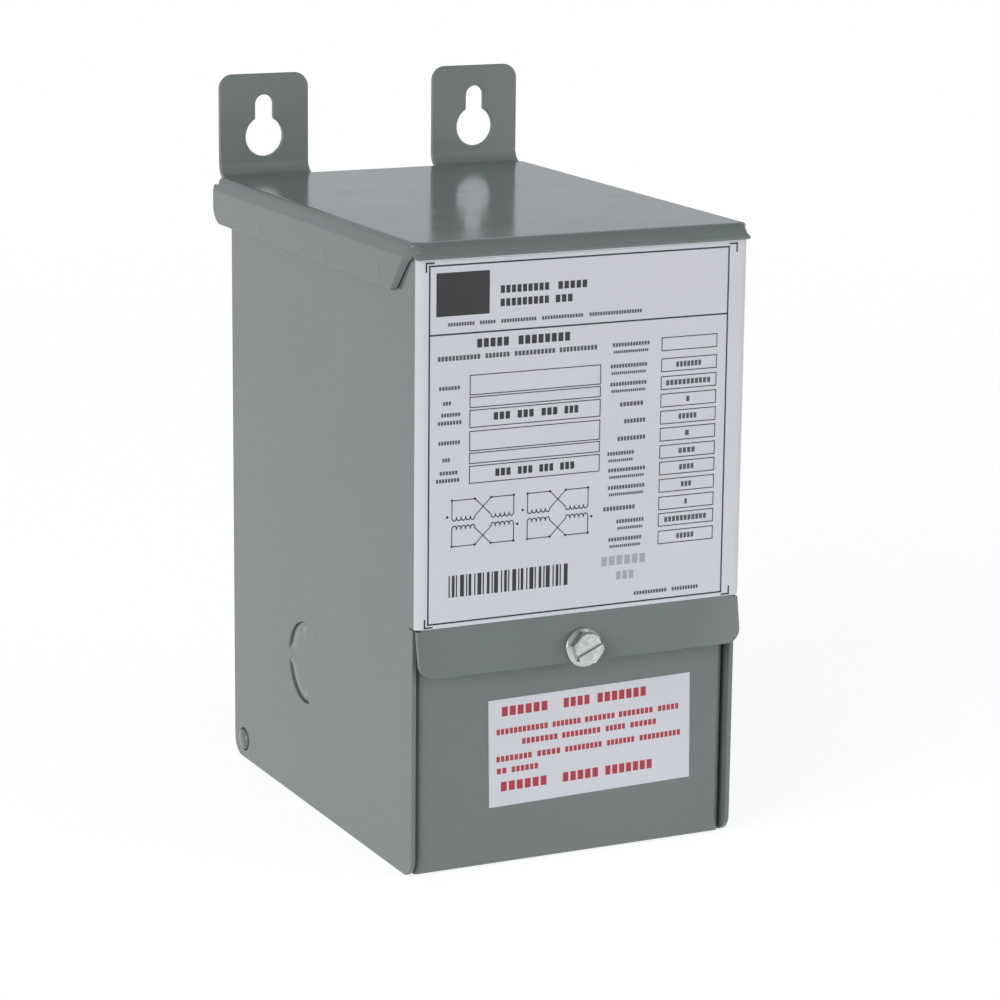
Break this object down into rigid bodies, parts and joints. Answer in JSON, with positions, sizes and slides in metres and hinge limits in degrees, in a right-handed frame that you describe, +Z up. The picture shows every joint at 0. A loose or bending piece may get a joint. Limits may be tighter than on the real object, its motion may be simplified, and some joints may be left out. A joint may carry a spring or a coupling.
{
  "type": "buck boost transformer in a wall-hung sheet-steel enclosure",
  "caption": "Small grey wall-hung buck boost transformer: folded steel case with keyhole tabs, resin-filled body and a hinged door over its wiring compartment.",
  "frame": {"origin": "middle of the overall width and depth, level with the bottom edges of the side walls", "axes": "+X to the right seen from the front, -Y out of the front panel, +Z up"},
  "size_m": [0.0952, 0.1402, 0.19],
  "materials": {
    "grey_paint": "semi-gloss grey powder coat",
    "door_paint": "semi-gloss grey powder coat",
    "resin": "dark cast resin with sand filler",
    "label_sheet": "satin white printed film",
    "zinc_screw": "bright zinc plate"
  },
  "bodies": {
    "case": {"enclosure_wrap": "grey_paint", "back_panel": "grey_paint", "top_cover": "grey_paint", "resin_block": "resin", "nameplate_label": "label_sheet", "knockout_left": "grey_paint", "knockout_right": "grey_paint"},
    "door": {"door": "door_paint", "door_screw": "zinc_screw", "lower_label": "label_sheet"}
  },
  "joints": [
    {"name": "door_hinge", "type": "hinge", "parent": "case", "child": "door", "pos_m": [0, 0.05184, 0.0054], "axis": [1, 0, 0], "range_deg": [0, 90]}
  ]
}
